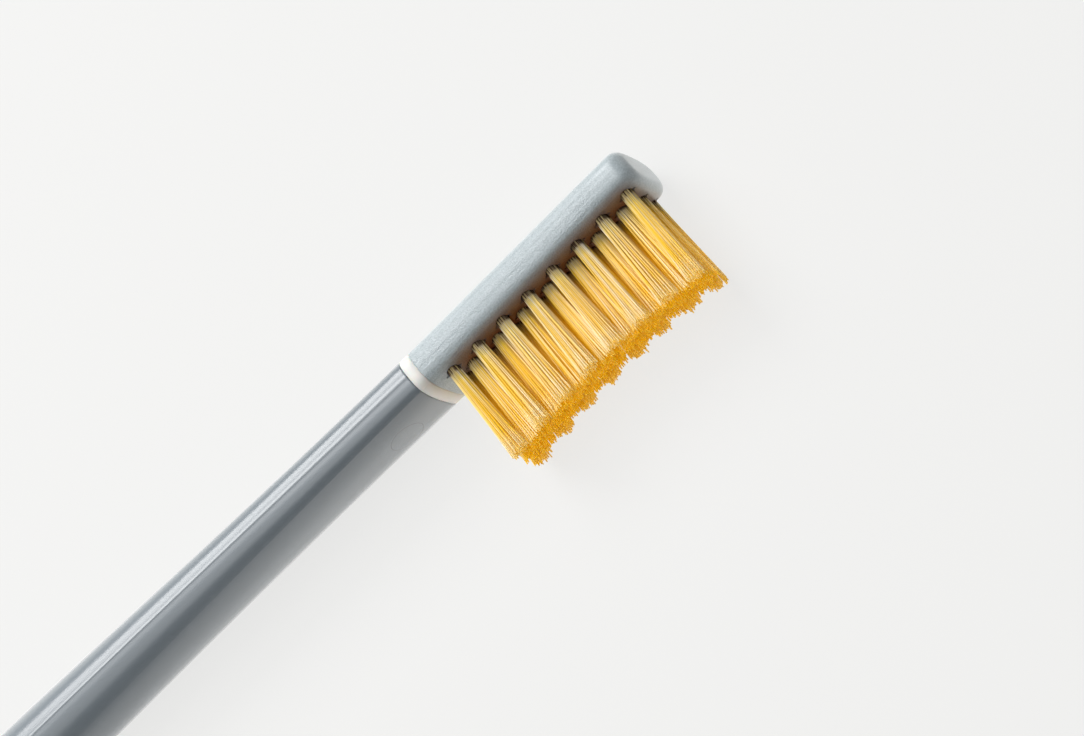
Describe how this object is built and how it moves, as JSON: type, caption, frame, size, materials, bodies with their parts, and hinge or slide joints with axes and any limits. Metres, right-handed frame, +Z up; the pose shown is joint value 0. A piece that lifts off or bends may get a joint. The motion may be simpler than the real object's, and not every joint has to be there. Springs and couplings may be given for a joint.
{
  "type": "toothbrush",
  "caption": "Manual toothbrush lying on its side: slim round handle, collar ring and narrow block head with staggered flared tufts.",
  "frame": {"origin": "centre of the bounding box, on the surface that the brush lies on", "axes": "+X along the brush towards the tip of the head, +Z up across the brush, bristles towards -Y"},
  "size_m": [0.184, 0.021, 0.0095],
  "materials": {
    "handle": "glossy moulded",
    "ring": "glossy moulded",
    "head": "satin, finely grained",
    "bristle": "translucent filament",
    "anchor": "flat wire"
  },
  "bodies": {
    "root": {"handle": "handle", "collar_ring": "ring", "head": "head", "tuft_anchors": "anchor", "tuft_a1": "bristle", "tuft_a2": "bristle", "tuft_a3": "bristle", "tuft_a4": "bristle", "tuft_a5": "bristle", "tuft_a6": "bristle", "tuft_a7": "bristle", "tuft_a8": "bristle", "tuft_b1": "bristle", "tuft_b2": "bristle", "tuft_b3": "bristle", "tuft_b4": "bristle", "tuft_b5": "bristle", "tuft_b6": "bristle", "tuft_b7": "bristle", "tuft_c1": "bristle", "tuft_c2": "bristle", "tuft_c3": "bristle", "tuft_c4": "bristle", "tuft_c5": "bristle", "tuft_c6": "bristle", "tuft_c7": "bristle", "tuft_c8": "bristle", "tuft_d1": "bristle", "tuft_d2": "bristle", "tuft_d3": "bristle", "tuft_d4": "bristle", "tuft_d5": "bristle", "tuft_d6": "bristle", "tuft_d7": "bristle", "tuft_e1": "bristle", "tuft_e2": "bristle", "tuft_e3": "bristle", "tuft_e4": "bristle", "tuft_e5": "bristle", "tuft_e6": "bristle", "tuft_e7": "bristle", "tuft_e8": "bristle"}
  },
  "joints": []
}
